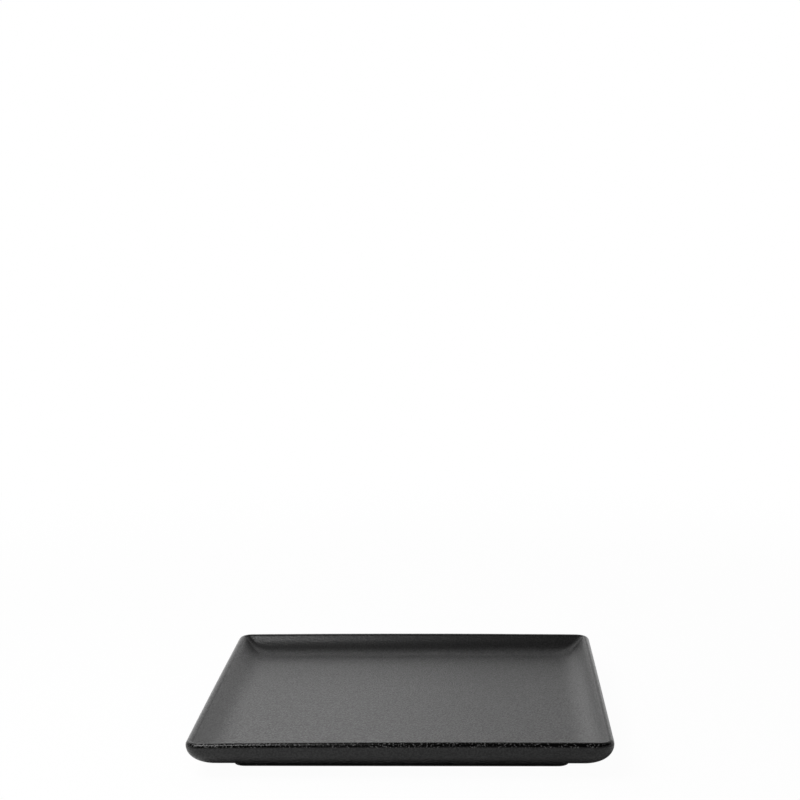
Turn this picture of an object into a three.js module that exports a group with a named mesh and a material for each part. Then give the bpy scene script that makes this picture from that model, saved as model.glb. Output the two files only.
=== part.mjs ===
// A square stoneware serving plate: a shallow flat well inside a low curved wall with a rounded lip,
// standing on a square foot ring. The fired clay body carries a thin glaze coat in separate fields: the
// well, the lip, the outer wall and the recess inside the foot. The foot ring is left as bare clay.
// Millimetres, +Z up. The origin is the middle of the plane that the foot stands on.
import * as THREE from "three";

// Plan sizes, measured across the finished plate.
const PLATE_WIDTH = 260; // over the lip, from side to side
const WELL_RUN = 22.1; // plan width of the inner wall, from the lip's crest to the flat well floor
const WALL_RUN = 17.3; // plan width of the outer wall, from the lip to the flat underside
const FOOT_MARGIN = 8; // flat underside left between the outer wall and the foot ring

// Heights, from the table up.
const FOOT_HEIGHT = 6.3; // table to the flat underside
const SLAB_THICKNESS = 5.4; // underside to the well floor, glaze included
const WELL_DEPTH = 11.2; // well floor to the lip's crest
const LIP_RADIUS = 2.7; // rounding over the lip's crest
const INNER_RAMP = 3.2; // straight stretch of the inner wall just under the lip, along its slope

// Plan radii of the rounded corners.
const LIP_CORNER_RADIUS = 10.4; // outer edge of the lip
const LIP_INNER_CORNER_RADIUS = 3.3; // inner edge of the lip, where the ramp meets it
const WELL_CORNER_RADIUS = 9; // edge of the flat well floor
const UNDERSIDE_CORNER_RADIUS = 5.5; // edge of the flat underside
const FOOT_CORNER_RADIUS = 8; // outer face of the foot ring
const RECESS_CORNER_RADIUS = 4; // inner face of the foot ring

// The foot ring's section and the glaze.
const FOOT_BEARING_WIDTH = 4; // flat that stands on the table
const FOOT_DRAFT = 0.9; // how far each face of the ring leans in on its way down
const FOOT_EDGE_RADIUS = 0.8; // rounding beside the bearing flat
const GLAZE_THICKNESS = 0.4;

// Facets: steps along each curve, and around each of the four corners.
const INNER_WALL_STEPS = 8;
const LIP_STEPS = 8;
const OUTER_WALL_STEPS = 10;
const FOOT_EDGE_STEPS = 3;
const CORNER_STEPS = 8;

// Levels and half-widths that follow from the sizes above.
const QUARTER_TURN = Math.PI / 2;
const plateHalf = PLATE_WIDTH / 2;
const crestHalf = plateHalf - LIP_RADIUS;
const floorHalf = crestHalf - WELL_RUN;
const undersideHalf = plateHalf - WALL_RUN;
const footHalf = undersideHalf - FOOT_MARGIN;
const bearingOuterHalf = footHalf - FOOT_DRAFT - FOOT_EDGE_RADIUS;
const bearingInnerHalf = bearingOuterHalf - FOOT_BEARING_WIDTH;
const recessHalf = bearingInnerHalf - FOOT_EDGE_RADIUS - FOOT_DRAFT;
const bodyUndersideZ = FOOT_HEIGHT + GLAZE_THICKNESS;
const floorZ = FOOT_HEIGHT + SLAB_THICKNESS;
const springZ = floorZ + WELL_DEPTH - LIP_RADIUS; // level at which the outer wall springs from the lip

// The inner wall is an arc that leaves the well floor level, and a straight ramp from the arc's tangent
// to the lip's. One slope and one radius give the wall's depth and run together.
const innerSlope = 2 * Math.atan(WELL_DEPTH / (WELL_RUN + INNER_RAMP));
const innerWallRadius = (WELL_RUN - INNER_RAMP * Math.cos(innerSlope)) / Math.sin(innerSlope) - LIP_RADIUS;
const lipInnerHalf = crestHalf - LIP_RADIUS * Math.sin(innerSlope);

// A station is one level of a solid: a rounded square of half-width `half` at height `z`.
// `normal` points away from the clay in the plane of the section (x outwards in plan, y up).
const station = (half, z, radius, normal) => ({ half, z, radius, normal });

// Corner radii by half-width. On each curve they change evenly from end to end.
const { mapLinear } = THREE.MathUtils;
const lipCorner = (half) =>
  mapLinear(half, lipInnerHalf, plateHalf, LIP_INNER_CORNER_RADIUS, LIP_CORNER_RADIUS);
const wellCorner = (half) =>
  mapLinear(half, floorHalf, lipInnerHalf, WELL_CORNER_RADIUS, LIP_INNER_CORNER_RADIUS);
const wallCorner = (half) =>
  mapLinear(half, undersideHalf, plateHalf, UNDERSIDE_CORNER_RADIUS, LIP_CORNER_RADIUS);

// A round stretch of the section.
const arc = (half, z, radius, start, end, clockwise) =>
  new THREE.EllipseCurve(half, z, radius, radius, start, end, clockwise);

// Stations along a section curve. The section is walked with the air on its left, so the normal is the
// tangent turned to the left.
function stationsAlong(curve, steps, cornerAt) {
  return Array.from({ length: steps + 1 }, (_, step) => {
    const point = curve.getPoint(step / steps);
    const tangent = curve.getTangent(step / steps);
    return station(point.x, point.y, cornerAt(point.x), new THREE.Vector2(-tangent.y, tangent.x));
  });
}

// The finished surface, walked from the edge of the well floor up to the ramp.
const innerArc = stationsAlong(
  arc(floorHalf, floorZ + innerWallRadius, innerWallRadius, -QUARTER_TURN, innerSlope - QUARTER_TURN, false),
  INNER_WALL_STEPS,
  wellCorner,
);

// Over the lip, from the ramp's top to the lip's outer side.
const lip = stationsAlong(
  arc(crestHalf, springZ, LIP_RADIUS, innerSlope + QUARTER_TURN, 0, true),
  LIP_STEPS,
  lipCorner,
);

// Down the outer wall to the flat underside, and along it to the foot ring.
const outerWall = stationsAlong(
  new THREE.EllipseCurve(undersideHalf, springZ, WALL_RUN, springZ - FOOT_HEIGHT, 0, -QUARTER_TURN, true),
  OUTER_WALL_STEPS,
  wallCorner,
);
const footJoint = station(footHalf, FOOT_HEIGHT, FOOT_CORNER_RADIUS, new THREE.Vector2(0, -1));

// Neighbouring fields share their end stations.
const innerWall = [...innerArc, lip[0]];
outerWall[0] = lip.at(-1);
const wallToFoot = [...outerWall, footJoint];

// The clay surface under a finished station, one glaze thickness down its normal.
const clayUnder = new Map();
for (const top of [...innerWall, ...lip, ...wallToFoot]) {
  const inwards = top.normal.x * GLAZE_THICKNESS;
  clayUnder.set(
    top,
    station(top.half - inwards, top.z - top.normal.y * GLAZE_THICKNESS, top.radius - inwards, top.normal),
  );
}
const clay = (stations) => stations.map((top) => clayUnder.get(top));

// One ring of points around a station, counter-clockwise seen from above.
function ringPoints({ half, z, radius }) {
  const reach = half - radius;
  const points = [];
  for (let corner = 0; corner < 4; corner++) {
    const start = corner * QUARTER_TURN;
    const middle = start + QUARTER_TURN / 2;
    const x = reach * Math.sign(Math.cos(middle));
    const y = reach * Math.sign(Math.sin(middle));
    for (let step = 0; step <= CORNER_STEPS; step++) {
      const angle = start + (step / CORNER_STEPS) * QUARTER_TURN;
      points.push(x + radius * Math.cos(angle), y + radius * Math.sin(angle), z);
    }
  }
  return points;
}

const POINTS_IN_RING = 4 * (CORNER_STEPS + 1);

// The wall of triangles between two rings that start at vertices `from` and `to`.
function bandTriangles(from, to) {
  const triangles = [];
  for (let i = 0; i < POINTS_IN_RING; i++) {
    const j = (i + 1) % POINTS_IN_RING;
    triangles.push(from + i, to + i, to + j, from + i, to + j, from + j);
  }
  return triangles;
}

// The fan of triangles between a ring and a point on the axis, facing up or down.
function fanTriangles(ring, pole, facesUp) {
  const triangles = [];
  for (let i = 0; i < POINTS_IN_RING; i++) {
    const j = (i + 1) % POINTS_IN_RING;
    triangles.push(pole, ring + (facesUp ? i : j), ring + (facesUp ? j : i));
  }
  return triangles;
}

// Skins the stations in order. A frame's last station joins its first, and a slab is closed by flat
// faces at its first station (the top) and its last (the bottom).
function skin(stations, closesOnItself) {
  const positions = stations.flatMap(ringPoints);
  const ringAt = (n) => (n % stations.length) * POINTS_IN_RING;
  const bands = closesOnItself ? stations.length : stations.length - 1;
  const triangles = Array.from({ length: bands }, (_, n) => bandTriangles(ringAt(n), ringAt(n + 1))).flat();
  if (!closesOnItself) {
    const topPole = positions.length / 3;
    positions.push(0, 0, stations[0].z, 0, 0, stations.at(-1).z);
    triangles.push(...fanTriangles(ringAt(0), topPole, true));
    triangles.push(...fanTriangles(ringAt(stations.length - 1), topPole + 1, false));
  }
  const geometry = new THREE.BufferGeometry();
  geometry.setAttribute("position", new THREE.Float32BufferAttribute(positions, 3));
  geometry.setIndex(triangles);
  geometry.computeVertexNormals();
  return geometry;
}
const slab = (stations) => skin(stations, false);
const frame = (stations) => skin(stations, true);

// A glaze field that goes all the way round: the finished stations, then back along the clay under them.
const glazeFrame = (stations) => frame([...stations, ...clay(stations).reverse()]);

// The fired clay body: well slab, wall and lip in one piece, with a flat underside.
const bodyGeometry = () => slab(clay([...innerWall, ...lip.slice(1), ...outerWall.slice(1)]));

// The glaze over the well floor and the inner wall.
const wellGlazeGeometry = () => slab([...innerWall, ...clay(innerWall).reverse()]);

// The foot ring, bare clay: down its outer face, across the bearing flat and up its inner face.
function footRingGeometry() {
  const down = new THREE.Vector2(0, -1);
  const edge = (bearingHalf, direction, cornerRadius) =>
    Array.from({ length: FOOT_EDGE_STEPS + 1 }, (_, step) => {
      const angle = (step / FOOT_EDGE_STEPS) * QUARTER_TURN;
      const out = FOOT_EDGE_RADIUS * Math.cos(angle) * direction;
      return station(bearingHalf + out, FOOT_EDGE_RADIUS * (1 - Math.sin(angle)), cornerRadius + out, down);
    });
  const outerBearingRadius = FOOT_CORNER_RADIUS - (footHalf - bearingOuterHalf);
  const innerBearingRadius = RECESS_CORNER_RADIUS + (bearingInnerHalf - recessHalf);
  return frame([
    station(footHalf, bodyUndersideZ, FOOT_CORNER_RADIUS, down),
    station(footHalf, FOOT_HEIGHT, FOOT_CORNER_RADIUS, down),
    ...edge(bearingOuterHalf, 1, outerBearingRadius),
    ...edge(bearingInnerHalf, -1, innerBearingRadius).reverse(),
    station(recessHalf, FOOT_HEIGHT, RECESS_CORNER_RADIUS, down),
    station(recessHalf, bodyUndersideZ, RECESS_CORNER_RADIUS, down),
  ]);
}

// The glaze panel on the underside, inside the foot ring.
const recessGlazeGeometry = () =>
  slab([bodyUndersideZ, FOOT_HEIGHT].map((z) => station(recessHalf, z, RECESS_CORNER_RADIUS)));

// Finishes: satin black glaze, a slightly glossier lip, and bare black clay.
const SATIN_GLAZE = { color: 0x242424, roughness: 0.5, metalness: 0 };
const LIP_GLAZE = { color: 0x1a1a1a, roughness: 0.35, metalness: 0 };
const BARE_CLAY = { color: 0x161616, roughness: 0.85, metalness: 0 };

const plate = new THREE.Group();
plate.name = "square_serving_plate";
function addPiece(name, geometry, finish) {
  const mesh = new THREE.Mesh(geometry, new THREE.MeshStandardMaterial(finish));
  mesh.name = name;
  plate.add(mesh);
}
addPiece("clay_body", bodyGeometry(), BARE_CLAY);
addPiece("foot_ring", footRingGeometry(), BARE_CLAY);
addPiece("well_glaze", wellGlazeGeometry(), SATIN_GLAZE);
addPiece("lip_glaze", glazeFrame(lip), LIP_GLAZE);
addPiece("wall_glaze", glazeFrame(wallToFoot), SATIN_GLAZE);
addPiece("recess_glaze", recessGlazeGeometry(), SATIN_GLAZE);

export default plate;
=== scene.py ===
"""A square stoneware serving plate in satin black glaze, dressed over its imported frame."""
import math

import bpy
import numpy as np
from mathutils import Matrix, Vector, noise


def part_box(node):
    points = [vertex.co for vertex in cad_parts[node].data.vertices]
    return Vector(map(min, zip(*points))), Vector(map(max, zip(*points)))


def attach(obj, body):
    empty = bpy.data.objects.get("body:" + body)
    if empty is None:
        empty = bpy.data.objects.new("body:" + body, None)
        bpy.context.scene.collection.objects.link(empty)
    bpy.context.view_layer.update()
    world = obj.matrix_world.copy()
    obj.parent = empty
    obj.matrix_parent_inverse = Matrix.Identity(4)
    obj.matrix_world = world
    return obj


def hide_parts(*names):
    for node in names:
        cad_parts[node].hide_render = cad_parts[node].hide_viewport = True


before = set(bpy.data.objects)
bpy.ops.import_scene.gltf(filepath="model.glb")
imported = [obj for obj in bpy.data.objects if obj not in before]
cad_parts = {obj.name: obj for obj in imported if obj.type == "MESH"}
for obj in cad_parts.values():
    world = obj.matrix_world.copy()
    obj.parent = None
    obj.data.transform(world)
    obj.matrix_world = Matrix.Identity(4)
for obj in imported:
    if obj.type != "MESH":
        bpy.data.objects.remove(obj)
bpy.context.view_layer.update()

# Sizes read from the frame, in metres.
lip_low, lip_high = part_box("lip_glaze")
recess_low, recess_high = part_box("recess_glaze")
PLATE_HALF = lip_high.x
SPRING_Z = lip_low.z  # level at which the outer wall springs from the lip
UNDERSIDE_Z = recess_low.z
GLAZE = recess_high.z - recess_low.z
CLAY_UNDERSIDE_Z = recess_high.z
RECESS_HALF = recess_high.x
WELL_FLOOR_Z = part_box("well_glaze")[0].z + GLAZE
FOOT_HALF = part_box("foot_ring")[1].x

# Sizes that the frame's boxes don't give, in metres.
WELL_RUN = 0.0221
INNER_RAMP = 0.0032
LIP_RADIUS = 0.0027
WALL_RUN = 0.0173
LIP_CORNER_RADIUS = 0.0104
LIP_INNER_CORNER_RADIUS = 0.0033
WELL_CORNER_RADIUS = 0.009
UNDERSIDE_CORNER_RADIUS = 0.0055
FOOT_CORNER_RADIUS = 0.008
RECESS_CORNER_RADIUS = 0.004
FOOT_DRAFT = 0.0009
FOOT_EDGE_RADIUS = 0.0008

LIP_TOP = SPRING_Z + LIP_RADIUS
QUARTER_TURN = math.pi / 2

# Mesh steps: along the section, and around the plan's sides and corners. Hidden faces are coarser.
WELL_FLOOR_STEPS = 26
WALL_STEPS = 28
RAMP_STEPS = 4
LIP_STEPS = 20
RECESS_STEPS = 12
FOOT_EDGE_STEPS = 6
CLAY_WALL_STEPS = 12
CLAY_LIP_STEPS = 8
HIDDEN_STRIDE = 4
SIDE_STEPS = 64
CORNER_STEPS = 16
LIP_SIDE_STEPS = 480
LIP_CORNER_STEPS = 24
SHARP_ANGLE = math.radians(35)

# The inner wall is an arc that leaves the well floor level, and a straight ramp from it to the lip.
CREST_HALF = PLATE_HALF - LIP_RADIUS
WELL_FLOOR_HALF = CREST_HALF - WELL_RUN
UNDERSIDE_HALF = PLATE_HALF - WALL_RUN
INNER_SLOPE = 2 * math.atan((LIP_TOP - WELL_FLOOR_Z) / (WELL_RUN + INNER_RAMP))
INNER_WALL_RADIUS = (WELL_RUN - INNER_RAMP * math.cos(INNER_SLOPE)) / math.sin(INNER_SLOPE) - LIP_RADIUS
LIP_INNER_HALF = CREST_HALF - LIP_RADIUS * math.sin(INNER_SLOPE)
CORNER_REACH = PLATE_HALF - LIP_CORNER_RADIUS

# How the kiln moved the rim: mid-sides up and corners down, and a slight twist.
RIM_CROWN = 0.00065
RIM_TWIST = -0.00035

# Unevenness of the glaze as real relief: long waves everywhere and grit on the lip's shoulder.
WAVE_LENGTH = 0.028
WAVE_HEIGHT = 0.00004
GRIT_LENGTH = 0.0012
GRIT_HEIGHT = 0.00006
SHOULDER_INSETS = (0.0019, 0.0027)  # the grit fades out between these distances in from the outer edge
SHOULDER_RISE = 0.0003  # and over this height above the outer wall

# Finish of the glaze and the clay: greys, roughness, and the size and depth of the grain in metres.
# The glaze's grey and roughness are given for the hollows and then the tops of its grain.
GLAZE_GREYS = (0.002, 0.02)
GLAZE_ROUGHNESS = (0.41, 0.275)
GLAZE_SHINE = 0.4
CLOUD_LENGTH = 0.035
GRAIN_LENGTH = 0.0011
GRAIN_DEPTH = 0.00035
GRAIN_SLOPES = (0.8, 0.99)  # from steep to level, by the normal's upward part
GRAIN_SLOPE_SHARE = 0.55  # share of the grain's depth where it is steep
GRAIN_EDGE = (0.4, 0.6)  # share of its height over which the grain turns paler and smoother
# Painted shade: this near-black grey darkens the lip's outer shoulder beyond what the light leaves there.
LIP_PAINTED_SHADE_GREY = 0.001
LIP_ROUGHNESS = 0.16
LIP_SHINE = 0.22
LIP_GRIT_DEPTH = 0.00016
# Painted glints: the tops of the grit on the shoulder are painted as pale specks, standing in for the key
# light's sparkle on them.
GLINT_SPECK_EDGE = (0.57, 0.61)  # the grit shows as specks above this share of its height
GLINT_SPECK_GREY = 0.075
CLAY_GREYS = (0.004, 0.008)
CLAY_ROUGHNESS = (0.75, 0.9)
SAND_LENGTH = 0.0007
SAND_DEPTH = 0.00012
NOISE_MIDDLE = (0.3, 0.7)  # nearly all of a noise lies in this range

# Studio, by a direction's sine of elevation: white round the horizon, pale far up behind the plate, and
# dark overhead and in front.
HORIZON_FADE = (0.115, 0.18)  # the horizon's white ends here
BACKDROP_LEVEL = 0.77
BACKDROP_TOP_FADE = (0.71, 1.03)
BACKDROP_SIDES = (0.0, 0.6)  # the backdrop comes up over this range of a direction's Y
CEILING_LEVEL = 0.05
GROUND_REACH = 6.0
GROUND_GREY = 0.86
GROUND_WHITE_SHARE = 0.97
GROUND_FADE = (0.35, 1.0)  # distance from the plate's middle over which the ground turns all white
GROUND_MIRROR_FADE = (0.22, 0.5)  # the same as reflections show it, with the shade beside the plate
GROUND_FRONT_FADE = (-0.35, -0.1)  # places along Y over which reflections lose that white towards the front
KEY_PLACE = (-0.353, -0.245, 0.644)
KEY_SIZE = (0.5, 0.35)
KEY_WATTS = 4.4
SOFTBOX_PLACE = (-0.4, 0.7, 0.5)
SOFTBOX_SIZE = (1.0, 0.6)
SOFTBOX_WATTS = 1.15

# Camera at the photograph's viewing angle. The frame is square.
CAMERA_PLACE = Vector((0.0501, -1.1335, 0.3536))
CAMERA_YAW = math.radians(-2.626)
CAMERA_PITCH = math.radians(6.972)
CAMERA_ROLL = math.radians(-0.799)
FOCAL_LENGTH_PX = 1730.0
FRAME_WIDTH_PX = 800
SENSOR_WIDTH_MM = 36.0


# Section curves. A row of stations holds half-width, height, corner radius and the air-side normal.

def stations(half, z, radius, normal_half, normal_z):
    """Rows of half-width, height, plan corner radius and the normal's two parts."""
    return np.column_stack(np.broadcast_arrays(half, z, radius, normal_half, normal_z)).astype(float)


def lip_corner(half):
    """Plan corner radius on the lip."""
    return np.interp(half, (LIP_INNER_HALF, PLATE_HALF), (LIP_INNER_CORNER_RADIUS, LIP_CORNER_RADIUS))


def well_corner(half):
    """Plan corner radius on the inner wall."""
    return np.interp(half, (WELL_FLOOR_HALF, LIP_INNER_HALF), (WELL_CORNER_RADIUS, LIP_INNER_CORNER_RADIUS))


def wall_corner(half):
    """Plan corner radius on the outer wall."""
    return np.interp(half, (UNDERSIDE_HALF, PLATE_HALF), (UNDERSIDE_CORNER_RADIUS, LIP_CORNER_RADIUS))


def ellipse_stations(centre, run, rise, start, end, steps, air, corner_at):
    """Stations along an ellipse about a centre, angles in radians; air is 1 outside it and -1 inside."""
    angle = np.linspace(start, end, steps + 1)
    normal = np.column_stack([np.cos(angle) / run, np.sin(angle) / rise]) * air
    normal /= np.linalg.norm(normal, axis=1, keepdims=True)
    half = centre[0] + run * np.cos(angle)
    return stations(half, centre[1] + rise * np.sin(angle), corner_at(half), normal[:, 0], normal[:, 1])


def clay_under(rows):
    """The clay surface one glaze thickness under finished stations."""
    inwards = rows[:, 3] * GLAZE
    return stations(rows[:, 0] - inwards, rows[:, 1] - rows[:, 4] * GLAZE, rows[:, 2] - inwards,
                    rows[:, 3], rows[:, 4])


def lip_round(steps):
    """Finished stations over the lip, from its inner to its outer side."""
    return ellipse_stations((CREST_HALF, SPRING_Z), LIP_RADIUS, LIP_RADIUS, INNER_SLOPE + QUARTER_TURN, 0,
                            steps, 1, lip_corner)


def inner_wall(arc_steps, ramp_steps):
    """Finished stations from the edge of the well floor up the arc and the ramp to the lip."""
    radius = INNER_WALL_RADIUS
    arc = ellipse_stations((WELL_FLOOR_HALF, WELL_FLOOR_Z + radius), radius, radius, -QUARTER_TURN,
                           INNER_SLOPE - QUARTER_TURN, arc_steps, -1, well_corner)
    share = np.linspace(0, 1, ramp_steps + 1)[1:, None]
    ramp = arc[-1] + (lip_round(1)[0] - arc[-1]) * share
    return np.vstack([arc, ramp])


def outer_wall(steps):
    """Finished stations from the lip down to the edge of the flat underside."""
    return ellipse_stations((UNDERSIDE_HALF, SPRING_Z), WALL_RUN, SPRING_Z - UNDERSIDE_Z, 0, -QUARTER_TURN,
                            steps, 1, wall_corner)


def flat_stations(edge, steps, centre_half=0.004):
    """Flat rings that shrink from an edge station towards the middle, the edge itself left out."""
    half = np.linspace(edge[0], centre_half, steps + 1)[1:]
    return stations(half, edge[1], edge[2] * half / edge[0], edge[3], edge[4])


# Meshes.

def outline(half, radius, side_steps, corner_steps):
    """Points of a rounded square, counter-clockwise from the right-hand end of its first corner."""
    reach = half - radius
    angle = np.linspace(0, QUARTER_TURN, corner_steps + 1)
    corner = np.column_stack([reach + radius * np.cos(angle), reach + radius * np.sin(angle)])
    along = np.linspace(reach, -reach, side_steps + 1)[1:-1]
    quarter = np.vstack([corner, np.column_stack([along, np.full_like(along, half)])])
    turned = [quarter]
    for _ in range(3):
        last = turned[-1]
        turned.append(np.column_stack([-last[:, 1], last[:, 0]]))
    return np.vstack(turned)


def kiln_settled(points):
    """Points moved as the rim settled in firing, which fades out down to the flat underside."""
    u, v = points[:, 0] / PLATE_HALF, points[:, 1] / PLATE_HALF
    share = np.clip((points[:, 2] - UNDERSIDE_Z) / (LIP_TOP - UNDERSIDE_Z), 0, 1)
    moved = points.copy()
    moved[:, 2] += share * (RIM_CROWN * (0.5 - (u * v) ** 2) + RIM_TWIST * u * v)
    return moved


def shoulder_share(points):
    """Share of the grit at points: 1 on the lip's outer shoulder and 0 away from it."""
    past_corner = np.maximum(np.abs(points[:, :2]) - CORNER_REACH, 0)
    inset = LIP_CORNER_RADIUS - np.linalg.norm(past_corner, axis=1)
    risen = np.clip((points[:, 2] - SPRING_Z) / SHOULDER_RISE, 0, 1)
    return np.interp(inset, SHOULDER_INSETS, (1, 0)) * risen


def glaze_relief(points):
    """Points moved by the glaze's long waves, and on the lip's shoulder by its grit."""
    moved = points.copy()
    for row, (point, share) in enumerate(zip(points, shoulder_share(points))):
        place = Vector(point)
        shift = noise.noise_vector(place / WAVE_LENGTH) * WAVE_HEIGHT
        if share > 0:
            shift += noise.noise_vector(place / GRIT_LENGTH) * (GRIT_HEIGHT * share)
        moved[row] += shift
    return moved


def skin(name, rows, closes_on_itself, side_steps, corner_steps, relief_rows=0):
    """A closed piece through stations: a frame whose last ring joins its first, or a capped slab.

    The first relief_rows stations carry the glaze's unevenness."""
    rings = [np.column_stack([outline(half, radius, side_steps, corner_steps),
                              np.full(4 * (side_steps + corner_steps), z)])
             for half, z, radius, _, _ in rows]
    points = np.vstack(rings)
    around = len(rings[0])
    finished = relief_rows * around
    if finished:
        points[:finished] = glaze_relief(points[:finished])
    points = kiln_settled(points)
    faces = []
    for ring in range(len(rings) if closes_on_itself else len(rings) - 1):
        here, there = ring * around, (ring + 1) % len(rings) * around
        for i in range(around):
            j = (i + 1) % around
            faces.append((here + i, there + i, there + j, here + j))
    if not closes_on_itself:
        faces.append(tuple(range(around)))
        faces.append(tuple(reversed(range(len(points) - around, len(points)))))
    mesh = bpy.data.meshes.new(name)
    mesh.from_pydata(points.tolist(), [], faces)
    mesh.polygons.foreach_set("use_smooth", [True] * len(mesh.polygons))
    mesh.set_sharp_from_angle(angle=SHARP_ANGLE)
    mesh.update()
    piece = bpy.data.objects.new(name, mesh)
    bpy.context.scene.collection.objects.link(piece)
    return piece


def dress(piece, node, material):
    """Puts a piece in its node's place with its finish."""
    piece.data.materials.append(material)
    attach(piece, "root")
    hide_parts(node)


# Materials.

def new_material(name):
    """An empty node material with its Principled shader."""
    material = bpy.data.materials.new(name)
    material.use_nodes = True
    return material, material.node_tree, material.node_tree.nodes["Principled BSDF"]


def place_output(tree):
    """Places on the object, in metres."""
    return tree.nodes.new("ShaderNodeTexCoord").outputs["Object"]


def noise_output(tree, place, length, detail):
    """A noise from 0 to 1 whose features are about length metres across."""
    texture = tree.nodes.new("ShaderNodeTexNoise")
    texture.inputs["Scale"].default_value = 1 / length
    texture.inputs["Detail"].default_value = detail
    tree.links.new(place, texture.inputs["Vector"])
    return texture.outputs["Fac"]


def range_output(tree, value, source, target, smooth=False):
    """A value mapped from the source range to the target range and held there."""
    ranged = tree.nodes.new("ShaderNodeMapRange")
    ranged.interpolation_type = "SMOOTHSTEP" if smooth else "LINEAR"
    for socket, number in zip(("From Min", "From Max", "To Min", "To Max"), (*source, *target)):
        ranged.inputs[socket].default_value = number
    tree.links.new(value, ranged.inputs["Value"])
    return ranged.outputs["Result"]


def mix_value_output(tree, share, first, second):
    """First value at share 0 and second at share 1; a value is a socket or a number."""
    mix = tree.nodes.new("ShaderNodeMix")
    tree.links.new(share, mix.inputs["Factor"])
    for socket, value in (("A", first), ("B", second)):
        if isinstance(value, (int, float)):
            mix.inputs[socket].default_value = value
        else:
            tree.links.new(value, mix.inputs[socket])
    return mix.outputs["Result"]


def add_bump(tree, height, distance):
    """A bump of the given depth in metres."""
    bump = tree.nodes.new("ShaderNodeBump")
    bump.inputs["Distance"].default_value = distance
    tree.links.new(height, bump.inputs["Height"])
    return bump.outputs["Normal"]


def product_output(tree, first, second):
    """The product of two values."""
    product = tree.nodes.new("ShaderNodeMath")
    product.operation = "MULTIPLY"
    tree.links.new(first, product.inputs[0])
    tree.links.new(second, product.inputs[1])
    return product.outputs["Value"]


def vector_output(tree, operation, first, second):
    """A vector worked out from a vector socket and three numbers."""
    node = tree.nodes.new("ShaderNodeVectorMath")
    node.operation = operation
    tree.links.new(first, node.inputs[0])
    node.inputs[1].default_value = second
    return node.outputs["Vector"]


def length_output(tree, vector):
    """The length of a vector."""
    node = tree.nodes.new("ShaderNodeVectorMath")
    node.operation = "LENGTH"
    tree.links.new(vector, node.inputs[0])
    return node.outputs["Value"]


def axis_output(tree, vector, axis):
    """One part of a vector."""
    node = tree.nodes.new("ShaderNodeSeparateXYZ")
    tree.links.new(vector, node.inputs["Vector"])
    return node.outputs[axis]


def shoulder_output(tree, place):
    """Share of the grit, as shoulder_share gives it."""
    plan = vector_output(tree, "MULTIPLY", place, (1, 1, 0))
    past_corner = vector_output(tree, "SUBTRACT", vector_output(tree, "ABSOLUTE", plan, (0, 0, 0)),
                                (CORNER_REACH, CORNER_REACH, 0))
    past_corner = length_output(tree, vector_output(tree, "MAXIMUM", past_corner, (0, 0, 0)))
    far, near = (LIP_CORNER_RADIUS - inset for inset in SHOULDER_INSETS)
    outward = range_output(tree, past_corner, (near, far), (0, 1), True)
    height = axis_output(tree, place, "Z")
    risen = range_output(tree, height, (SPRING_Z, SPRING_Z + SHOULDER_RISE), (0, 1), True)
    return product_output(tree, outward, risen)


def satin_finish(tree, place):
    """Grey, roughness and grain of the satin glaze."""
    grain = noise_output(tree, place, GRAIN_LENGTH, 2)
    grey = range_output(tree, grain, GRAIN_EDGE, GLAZE_GREYS)
    normal = tree.nodes.new("ShaderNodeNewGeometry").outputs["Normal"]
    depth = range_output(tree, axis_output(tree, normal, "Z"), GRAIN_SLOPES, (GRAIN_SLOPE_SHARE, 1), True)
    gloss = range_output(tree, grain, GRAIN_EDGE, GLAZE_ROUGHNESS)
    return grey, gloss, product_output(tree, grain, depth)


def satin_material(name):
    """Satin black glaze with a fine grain."""
    material, tree, shader = new_material(name)
    shader.inputs["Specular IOR Level"].default_value = GLAZE_SHINE
    grey, gloss, grain = satin_finish(tree, place_output(tree))
    tree.links.new(grey, shader.inputs["Base Color"])
    tree.links.new(gloss, shader.inputs["Roughness"])
    tree.links.new(add_bump(tree, grain, GRAIN_DEPTH), shader.inputs["Normal"])
    return material


def lip_material(name):
    """The same glaze on the lip, where the outer shoulder is gritty, darkened with painted shade and dotted
    with painted glints as pale specks.
    """
    material, tree, shader = new_material(name)
    shader.inputs["Specular IOR Level"].default_value = LIP_SHINE
    place = place_output(tree)
    grey, gloss, grain = satin_finish(tree, place)
    shoulder = shoulder_output(tree, place)
    grit = noise_output(tree, place, GRIT_LENGTH, 2)
    # Painted glints and painted shade: pale specks on the tops of the grit, on a shoulder darkened almost
    # to black.
    painted_glints = product_output(tree, range_output(tree, grit, GLINT_SPECK_EDGE, (0, 1), True), shoulder)
    ground = mix_value_output(tree, shoulder, grey, LIP_PAINTED_SHADE_GREY)
    tree.links.new(mix_value_output(tree, painted_glints, ground, GLINT_SPECK_GREY), shader.inputs["Base Color"])
    tree.links.new(mix_value_output(tree, shoulder, gloss, LIP_ROUGHNESS), shader.inputs["Roughness"])
    height = mix_value_output(tree, shoulder, grain, grit)
    tree.links.new(add_bump(tree, height, LIP_GRIT_DEPTH), shader.inputs["Normal"])
    return material


def clay_material(name):
    """Bare fired black clay: dull, with an open sandy grain."""
    material, tree, shader = new_material(name)
    place = place_output(tree)
    cloud = noise_output(tree, place, CLOUD_LENGTH, 3)
    sand = noise_output(tree, place, SAND_LENGTH, 4)
    tree.links.new(range_output(tree, cloud, NOISE_MIDDLE, CLAY_GREYS), shader.inputs["Base Color"])
    tree.links.new(range_output(tree, sand, NOISE_MIDDLE, CLAY_ROUGHNESS), shader.inputs["Roughness"])
    tree.links.new(add_bump(tree, sand, SAND_DEPTH), shader.inputs["Normal"])
    return material


# Pieces.

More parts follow.
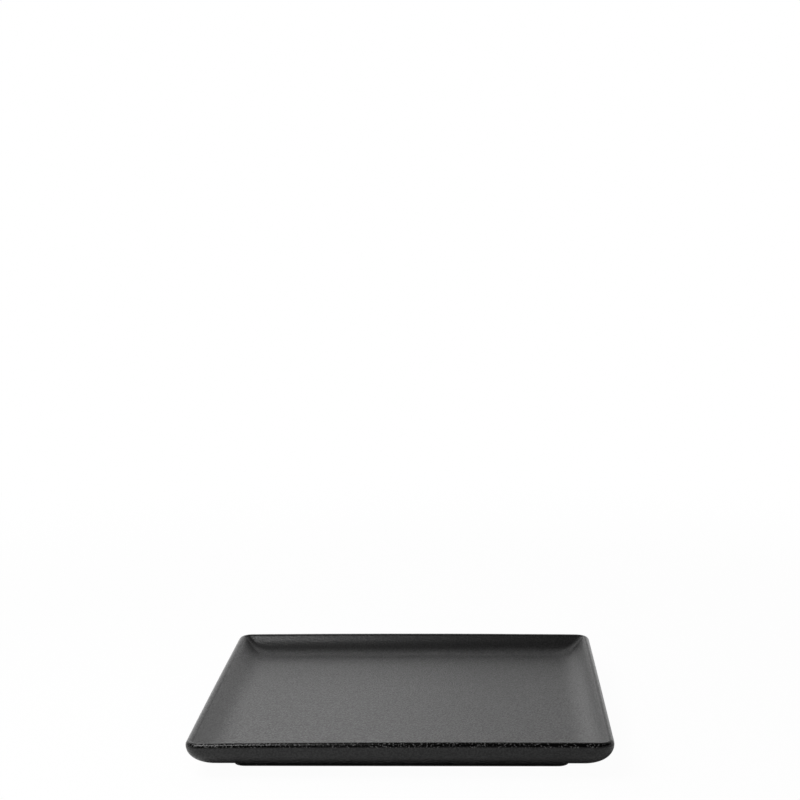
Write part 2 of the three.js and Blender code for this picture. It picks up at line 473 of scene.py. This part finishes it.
def well_glaze():
    """The glaze over the well floor and the inner wall."""
    wall = inner_wall(WALL_STEPS, RAMP_STEPS)
    finished = np.vstack([flat_stations(wall[0], WELL_FLOOR_STEPS)[::-1], wall])
    under = clay_under(wall)[::HIDDEN_STRIDE][::-1]
    rows = np.vstack([finished, under, flat_stations(under[-1], 1)])
    return skin("well_glaze_coat", rows, False, SIDE_STEPS, CORNER_STEPS, len(finished))


def lip_glaze():
    """The glaze over the round lip, with its grit."""
    finished = lip_round(LIP_STEPS)
    rows = np.vstack([finished, clay_under(finished)[::HIDDEN_STRIDE][::-1]])
    return skin("lip_glaze_coat", rows, True, LIP_SIDE_STEPS, LIP_CORNER_STEPS, len(finished))


def wall_glaze():
    """The glaze on the outer wall and on the underside up to the foot ring."""
    joint = stations(FOOT_HALF, UNDERSIDE_Z, FOOT_CORNER_RADIUS, 0, -1)
    wall = outer_wall(WALL_STEPS)
    under = np.vstack([clay_under(wall)[::HIDDEN_STRIDE], clay_under(joint)])
    rows = np.vstack([wall, joint, under[::-1]])
    return skin("wall_glaze_coat", rows, True, SIDE_STEPS, CORNER_STEPS, len(wall))


def recess_glaze():
    """The glaze on the underside inside the foot ring."""
    edge = stations(RECESS_HALF, UNDERSIDE_Z, RECESS_CORNER_RADIUS, 0, -1)
    top = stations(RECESS_HALF, CLAY_UNDERSIDE_Z, RECESS_CORNER_RADIUS, 0, 1)
    rows = np.vstack([flat_stations(top[0], 1), top, edge, flat_stations(edge[0], RECESS_STEPS)])
    return skin("recess_glaze_coat", rows, False, SIDE_STEPS, CORNER_STEPS)


def clay_body():
    """The fired clay under the glaze."""
    inner = clay_under(inner_wall(CLAY_WALL_STEPS, 1))
    over = clay_under(lip_round(CLAY_LIP_STEPS))[1:]
    outer = clay_under(outer_wall(CLAY_WALL_STEPS))[1:]
    middle = flat_stations(inner[0], 1)
    underside = flat_stations(outer[-1], 1)
    rows = np.vstack([middle, inner, over, outer, underside])
    return skin("clay_core", rows, False, SIDE_STEPS, CORNER_STEPS)


def foot_ring():
    """The bare foot ring: outer face, rounded bearing edges and inner face."""
    angle = np.linspace(0, QUARTER_TURN, FOOT_EDGE_STEPS + 1)
    drop = FOOT_EDGE_RADIUS * (1 - np.sin(angle))
    lean = FOOT_DRAFT + FOOT_EDGE_RADIUS * (1 - np.cos(angle))
    outer = stations(FOOT_HALF - lean, drop, FOOT_CORNER_RADIUS - lean, 1, 0)
    inner = stations(RECESS_HALF + lean, drop, RECESS_CORNER_RADIUS + lean, -1, 0)[::-1]
    outer_top = stations(FOOT_HALF, [CLAY_UNDERSIDE_Z, UNDERSIDE_Z], FOOT_CORNER_RADIUS, 1, 0)
    inner_top = stations(RECESS_HALF, [UNDERSIDE_Z, CLAY_UNDERSIDE_Z], RECESS_CORNER_RADIUS, -1, 0)
    rows = np.vstack([outer_top, outer, inner, inner_top])
    return skin("foot_ring_clay", rows, True, SIDE_STEPS, CORNER_STEPS)


# Stage, light and camera.

def add_ground():
    """A white ground that keeps the plate's soft shadow and turns all white away from it."""
    mesh = bpy.data.meshes.new("ground")
    corners = [(-1, -1), (1, -1), (1, 1), (-1, 1)]
    mesh.from_pydata([(GROUND_REACH * x, GROUND_REACH * y, 0) for x, y in corners], [], [(0, 1, 2, 3)])
    ground = bpy.data.objects.new("ground", mesh)
    bpy.context.scene.collection.objects.link(ground)
    material = bpy.data.materials.new("white_ground")
    material.use_nodes = True
    tree = material.node_tree
    tree.nodes.clear()
    diffuse = tree.nodes.new("ShaderNodeBsdfDiffuse")
    diffuse.inputs["Color"].default_value = (GROUND_GREY, GROUND_GREY, GROUND_GREY, 1)
    white = tree.nodes.new("ShaderNodeEmission")
    white.inputs["Color"].default_value = (1, 1, 1, 1)
    place = place_output(tree)
    away = length_output(tree, place)
    seen = range_output(tree, away, GROUND_FADE, (GROUND_WHITE_SHARE, 1), True)
    behind = range_output(tree, axis_output(tree, place, "Y"), GROUND_FRONT_FADE, (0, 1), True)
    mirrored = product_output(tree, range_output(tree, away, GROUND_MIRROR_FADE, (0, 1), True), behind)
    path = tree.nodes.new("ShaderNodeLightPath")
    white_share = product_output(tree, seen, path.outputs["Is Camera Ray"])
    for ray in ("Is Glossy Ray", "Is Transmission Ray"):
        both = tree.nodes.new("ShaderNodeMath")
        both.operation = "MAXIMUM"
        tree.links.new(white_share, both.inputs[0])
        tree.links.new(product_output(tree, mirrored, path.outputs[ray]), both.inputs[1])
        white_share = both.outputs["Value"]
    mix = tree.nodes.new("ShaderNodeMixShader")
    tree.links.new(white_share, mix.inputs["Fac"])
    tree.links.new(diffuse.outputs["BSDF"], mix.inputs[1])
    tree.links.new(white.outputs["Emission"], mix.inputs[2])
    output = tree.nodes.new("ShaderNodeOutputMaterial")
    tree.links.new(mix.outputs["Shader"], output.inputs["Surface"])
    mesh.materials.append(material)


def add_world():
    """The studio's backdrop and ceiling, by direction."""
    world = bpy.data.worlds.new("studio")
    world.use_nodes = True
    bpy.context.scene.world = world
    tree = world.node_tree
    tree.nodes.clear()
    direction = tree.nodes.new("ShaderNodeTexCoord").outputs["Generated"]
    height = axis_output(tree, direction, "Z")
    behind = range_output(tree, axis_output(tree, direction, "Y"), BACKDROP_SIDES, (0, 1), True)
    below_top = range_output(tree, height, BACKDROP_TOP_FADE, (1, 0), True)
    upper = mix_value_output(tree, product_output(tree, behind, below_top), CEILING_LEVEL, BACKDROP_LEVEL)
    studio = tree.nodes.new("ShaderNodeBackground")
    above_horizon = range_output(tree, height, HORIZON_FADE, (0, 1), True)
    tree.links.new(mix_value_output(tree, above_horizon, 1.0, upper), studio.inputs["Color"])
    output = tree.nodes.new("ShaderNodeOutputWorld")
    tree.links.new(studio.outputs["Background"], output.inputs["Surface"])


def add_lamp(name, place, size, watts):
    """A soft lamp that faces the plate."""
    lamp = bpy.data.lights.new(name, "AREA")
    lamp.shape = "RECTANGLE"
    lamp.size, lamp.size_y = size
    lamp.energy = watts
    holder = bpy.data.objects.new(name, lamp)
    holder.location = place
    holder.rotation_euler = (-Vector(place)).to_track_quat("-Z", "Y").to_euler()
    bpy.context.scene.collection.objects.link(holder)


def add_camera():
    """The camera at the photograph's place and angle."""
    lens = bpy.data.cameras.new("camera")
    lens.sensor_width = SENSOR_WIDTH_MM
    lens.lens = SENSOR_WIDTH_MM * FOCAL_LENGTH_PX / FRAME_WIDTH_PX
    camera = bpy.data.objects.new("camera", lens)
    turn = (Matrix.Rotation(-CAMERA_YAW, 4, "Z") @ Matrix.Rotation(QUARTER_TURN - CAMERA_PITCH, 4, "X")
            @ Matrix.Rotation(CAMERA_ROLL, 4, "Z"))
    camera.matrix_world = Matrix.Translation(CAMERA_PLACE) @ turn
    bpy.context.scene.collection.objects.link(camera)
    bpy.context.scene.camera = camera


add_camera()
add_ground()
add_world()
add_lamp("key_left", KEY_PLACE, KEY_SIZE, KEY_WATTS)
add_lamp("softbox_back", SOFTBOX_PLACE, SOFTBOX_SIZE, SOFTBOX_WATTS)
bpy.context.scene.view_settings.view_transform = "Standard"

satin = satin_material("satin_glaze")
gritty_lip = lip_material("lip_glaze")
clay = clay_material("bare_clay")
dress(well_glaze(), "well_glaze", satin)
dress(lip_glaze(), "lip_glaze", gritty_lip)
dress(wall_glaze(), "wall_glaze", satin)
dress(recess_glaze(), "recess_glaze", satin)
dress(clay_body(), "clay_body", clay)
dress(foot_ring(), "foot_ring", clay)
